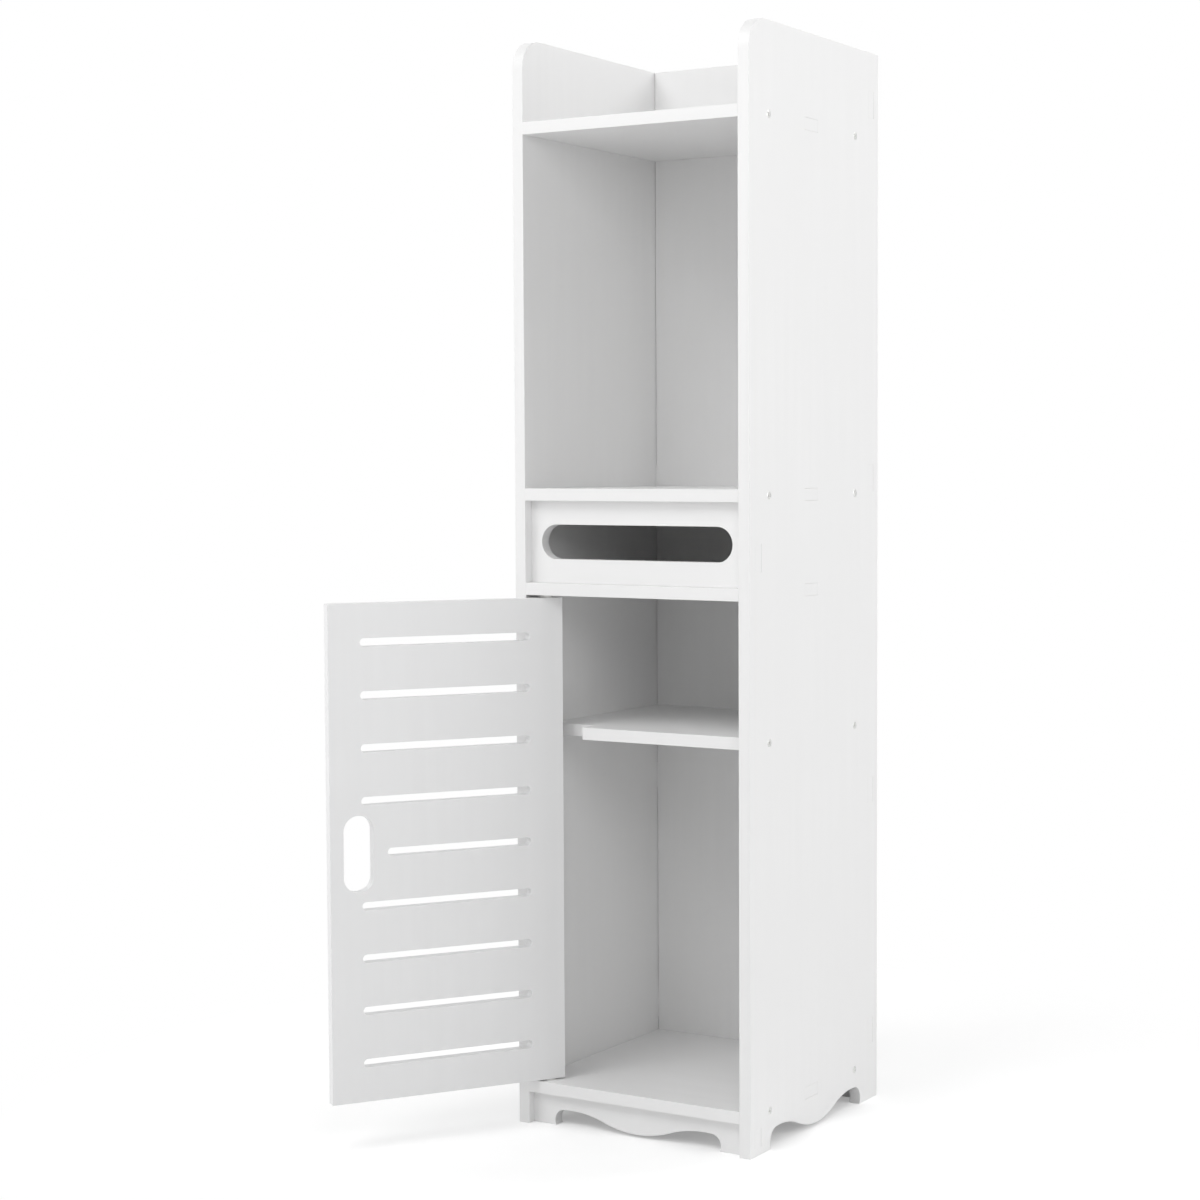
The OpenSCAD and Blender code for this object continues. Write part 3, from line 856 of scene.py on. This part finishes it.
def board_skin(name, stretch, darker, lighter, roughness):
    """The satin skin of a board whose streaks run along its length."""
    material, shader, add, link = new_material(name)
    streaks = noise_along(add, stretch, scale=90, detail=4)
    clouds = noise_along(add, EVEN, scale=7, detail=3)
    peel = noise_along(add, EVEN, scale=700, detail=2)
    streaky, cloudy = ranged(add, streaks, 0, 1), ranged(add, clouds, 0, 1)
    shade = add("Math", {0: streaky, 1: cloudy, 2: SHADE_BASE}, operation="MULTIPLY_ADD")
    link(mixed(add, shade.outputs[0], darker, lighter), shader.inputs["Base Color"])
    link(ranged(add, clouds, *roughness), shader.inputs["Roughness"])
    surface = add("Math", {0: streaks, 1: STREAK_RELIEF, 2: peel}, operation="MULTIPLY_ADD")
    relief(shader, add, link, surface.outputs[0], strength=0.35, depth=0.00006)
    shader.inputs["IOR"].default_value = BOARD_IOR
    return material


upright_skin = board_skin("upright board skin", ALONG_Z, BOARD_DARK, BOARD_LIGHT, BOARD_ROUGHNESS)
level_skin = board_skin("level board skin", ALONG_X, BOARD_DARK, BOARD_LIGHT, BOARD_ROUGHNESS)
door_skin = board_skin("door skin", ALONG_Z, DOOR_DARK, DOOR_LIGHT, DOOR_ROUGHNESS)
print("nodes in a skin:", len(upright_skin.node_tree.nodes))

# %% Cut edges
BOARD_PORE, BOARD_CUT = (0.835, 0.834, 0.833), (0.875, 0.874, 0.873)
DOOR_PORE, DOOR_CUT = (0.835, 0.836, 0.838), (0.875, 0.876, 0.878)


def cut_edge(name, darker, lighter):
    """The duller edge that a cutter leaves, with the foam's fine cells open."""
    material, shader, add, link = new_material(name)
    cells = noise_along(add, EVEN, scale=1600, detail=3)
    marks = noise_along(add, EVEN, scale=260, detail=2)
    pores = ranged(add, cells, 0, 1, start=0.3, end=0.55)
    link(mixed(add, pores, darker, lighter), shader.inputs["Base Color"])
    link(ranged(add, marks, low=0.52, high=0.66), shader.inputs["Roughness"])
    relief(shader, add, link, cells, strength=0.5, depth=0.0001)
    shader.inputs["IOR"].default_value = BOARD_IOR
    return material


sawn = cut_edge("cut edge of a board", BOARD_PORE, BOARD_CUT)
door_sawn = cut_edge("cut edge of the door", DOOR_PORE, DOOR_CUT)
print("nodes in a cut edge:", len(sawn.node_tree.nodes))

# %% Materials of the boards
SKIN_AND_EDGE = {
    "left_side_panel": (upright_skin, sawn), "right_side_panel": (upright_skin, sawn),
    "back_panel": (upright_skin, sawn), "door_panel": (door_skin, door_sawn),
}


def give_materials(piece, *materials):
    """Gives a piece its materials, in the order of its faces' material numbers."""
    piece.data.materials.clear()
    for material in materials:
        piece.data.materials.append(material)


for node, board in boards.items():
    give_materials(board, *SKIN_AND_EDGE.get(node, (level_skin, sawn)))
print("boards finished:", len(boards))

# %% [markdown]
# Nylon and steel
#
# The bushes are moulded nylon: a soft, faintly warm white that lets a little light in. The pins
# are drawn steel rod, with fine rings left by polishing, and the screws are zinc plated, which
# makes them a little cloudy. The recess in a head is painted near-black: painted shade, for the
# little light that finds its way out of it. Metal takes its colour from what it reflects, so most of
# the work is in its roughness.

# %% Nylon
NYLON_DARK, NYLON_LIGHT = (0.70, 0.70, 0.68), (0.76, 0.76, 0.74)
NYLON_DEPTH = (0.002, 0.002, 0.0018)


def moulded_nylon(name):
    """Moulded nylon with a fine sparked texture."""
    material, shader, add, link = new_material(name)
    cloud = noise_along(add, EVEN, scale=300, detail=2)
    sparks = noise_along(add, EVEN, scale=3000, detail=1)
    link(mixed(add, ranged(add, cloud, 0, 1), NYLON_DARK, NYLON_LIGHT), shader.inputs["Base Color"])
    link(ranged(add, cloud, low=0.38, high=0.5), shader.inputs["Roughness"])
    relief(shader, add, link, sparks, strength=0.3, depth=0.00004)
    shader.inputs["Subsurface Weight"].default_value = 0.15
    shader.inputs["Subsurface Radius"].default_value = NYLON_DEPTH
    return material


nylon = moulded_nylon("moulded nylon")
for piece in bushes:
    give_materials(piece, nylon)
print("bushes finished:", len(bushes))

# %% Pin steel and screw steel
def plain_steel(name, darker, lighter, roughness, stretch, scale):
    """Bare or plated steel; stretch sets which way its fine marks run."""
    material, shader, add, link = new_material(name)
    marks = noise_along(add, stretch, scale, detail=4)
    link(mixed(add, ranged(add, marks, 0, 1), darker, lighter), shader.inputs["Base Color"])
    link(ranged(add, marks, *roughness), shader.inputs["Roughness"])
    relief(shader, add, link, marks, strength=0.25, depth=0.00003)
    shader.inputs["Metallic"].default_value = 1
    return material


pin_steel = plain_steel(
    "polished pin steel", darker=(0.52, 0.53, 0.55), lighter=(0.62, 0.63, 0.65),
    roughness=(0.18, 0.32), stretch=(1, 1, 12), scale=400,
)
plated = plain_steel(
    "plated screw steel", darker=(0.66, 0.66, 0.65), lighter=(0.78, 0.78, 0.77),
    roughness=(0.24, 0.36), stretch=EVEN, scale=900,
)
# Near-black steel for the recess walls: painted shade, not the plating's own colour.
recess = plain_steel(
    "painted shade in the cross recess", darker=(0.05, 0.05, 0.05), lighter=(0.09, 0.09, 0.09),
    roughness=(0.4, 0.55), stretch=EVEN, scale=900,
)
for piece in pins:
    give_materials(piece, pin_steel)
for piece in screws:
    give_materials(piece, plated, recess)
print("steel pieces finished:", len(pins) + len(screws))

# %% [markdown]
# Floor and room
#
# A white object on a white ground is drawn by its shading alone, so the light decides everything.
# To every ray but the camera's and those of gloss and glass, the floor is a plain pale board that
# throws light up under the shelves. The camera sees it turn to plain white away from the object,
# and near it sees the floor with a little glow added, which keeps the object's shadow but makes it
# as soft as in a studio. The room gives an even, fairly low light, and to the camera it is white.
# A brighter room would give a white background too, but it would wash out the shading.

# %% What the eye sees
WHITE = (1, 1, 1, 1)


def seen_by_eye(tree):
    """A socket that is 1 for rays of the camera, of gloss and of glass, and 0 for all others."""
    rays = tree.nodes.new("ShaderNodeLightPath")
    seen = rays.outputs["Is Camera Ray"]
    for other in ("Is Glossy Ray", "Is Transmission Ray"):
        either = tree.nodes.new("ShaderNodeMath")
        either.operation = "MAXIMUM"
        tree.links.new(seen, either.inputs[0])
        tree.links.new(rays.outputs[other], either.inputs[1])
        seen = either.outputs[0]
    return seen


print("background:", WHITE)

# %% Floor
FLOOR_HALF, FLOOR_GLOW, FLOOR_NEAR, FLOOR_FAR = 12, 0.25, 0.35, 0.8
FLOOR_DARK, FLOOR_LIGHT, FLOOR_ROUGHNESS = (0.86, 0.86, 0.86), (0.88, 0.88, 0.88), 0.9


def floor_material():
    """Pale floor near the object, plain white for the camera further away."""
    material, shader, add, link = new_material("pale floor")
    shader.inputs["Roughness"].default_value = FLOOR_ROUGHNESS
    grain = noise_along(add, EVEN, scale=3, detail=2)
    link(mixed(add, grain, FLOOR_DARK, FLOOR_LIGHT), shader.inputs["Base Color"])
    glow = add("Emission", {"Color": WHITE, "Strength": FLOOR_GLOW})
    near = add("AddShader", {0: shader.outputs[0], 1: glow.outputs[0]})
    far = add("Emission", {"Color": WHITE, "Strength": 1})
    distance = add("VectorMath", {0: add("TexCoord").outputs["Object"]}, operation="LENGTH")
    fade = ranged(add, distance.outputs["Value"], 0, 1, start=FLOOR_NEAR, end=FLOOR_FAR)
    shown = add("MixShader", {"Fac": fade, 1: near.outputs[0], 2: far.outputs[0]})
    eye = seen_by_eye(material.node_tree)
    both = add("MixShader", {"Fac": eye, 1: shader.outputs[0], 2: shown.outputs[0]})
    out = next(n for n in material.node_tree.nodes if n.type == "OUTPUT_MATERIAL")
    link(both.outputs[0], out.inputs["Surface"])
    return material


bm = bmesh.new()
around = ((-1, -1), (1, -1), (1, 1), (-1, 1))
bm.faces.new([bm.verts.new((x * FLOOR_HALF, y * FLOOR_HALF, 0)) for x, y in around])
floor = object_from("floor", mesh_from("floor", bm))
give_materials(floor, floor_material())
print("floor:", 2 * FLOOR_HALF, "m square")

# %% Room light
ROOM_LIGHT = 0.35
world = bpy.data.worlds.new("studio")
bpy.context.scene.world = world
world.use_nodes = True
tree = world.node_tree
strength = tree.nodes.new("ShaderNodeMapRange")
strength.inputs["To Min"].default_value, strength.inputs["To Max"].default_value = ROOM_LIGHT, 1
tree.links.new(seen_by_eye(tree), strength.inputs["Value"])
tree.nodes["Background"].inputs["Color"].default_value = WHITE
tree.links.new(strength.outputs["Result"], tree.nodes["Background"].inputs["Strength"])
bpy.context.scene.view_settings.view_transform = "Standard"
print("room light", ROOM_LIGHT)

# %% [markdown]
# Lamps
#
# Each lamp has faces of its own to serve. The one high in front lights the board edges and the
# tops of the shelves. Two at the right, one low and one high behind, light the outer face of the
# right side panel and the open door. One level with the cabinet at the left and one behind it reach
# the ends and lower walls of the louvre slots. A small one near the upper compartment makes that
# compartment lighter than the lower ones. Light adds up, so a good way to find the strengths is to
# render each lamp alone and to solve for the mix: turning six lamps up and down by eye takes far
# longer.

# %% Lamps
CABINET_MIDDLE, UPPER_COMPARTMENT = 0.7, 1.4
FAR, NEAR, FAR_SIZE, NEAR_SIZE = 3, 1.7, 1.6, 0.9


def soft_lamp(name, azimuth, elevation, watts, height=CABINET_MIDDLE, distance=FAR, size=FAR_SIZE):
    """A square area lamp that looks at the cabinet at one height; azimuth 0 is its right side."""
    light = bpy.data.lights.new(name, "AREA")
    light.shape, light.size, light.energy = "SQUARE", size, watts
    lamp = object_from(name, light)
    turn, lift = math.radians(azimuth), math.radians(elevation)
    away = Vector((math.cos(turn) * math.cos(lift), math.sin(turn) * math.cos(lift), math.sin(lift)))
    lamp.location = Vector((0, 0, height)) + distance * away
    lamp.rotation_euler = (-away).to_track_quat("-Z", "Y").to_euler()
    print(f"{name}: {watts} W")


soft_lamp("high front lamp", azimuth=-110, elevation=45, watts=33)
soft_lamp("high rear right lamp", azimuth=60, elevation=45, watts=28)
soft_lamp("low right lamp", azimuth=10, elevation=10, watts=23)
soft_lamp("level left lamp", azimuth=-135, elevation=0, watts=13)
soft_lamp("rear left lamp", azimuth=180, elevation=20, watts=14)
soft_lamp(
    "lamp near the upper compartment", azimuth=-52, elevation=0, watts=7.2,
    height=UPPER_COMPARTMENT, distance=NEAR, size=NEAR_SIZE,
)
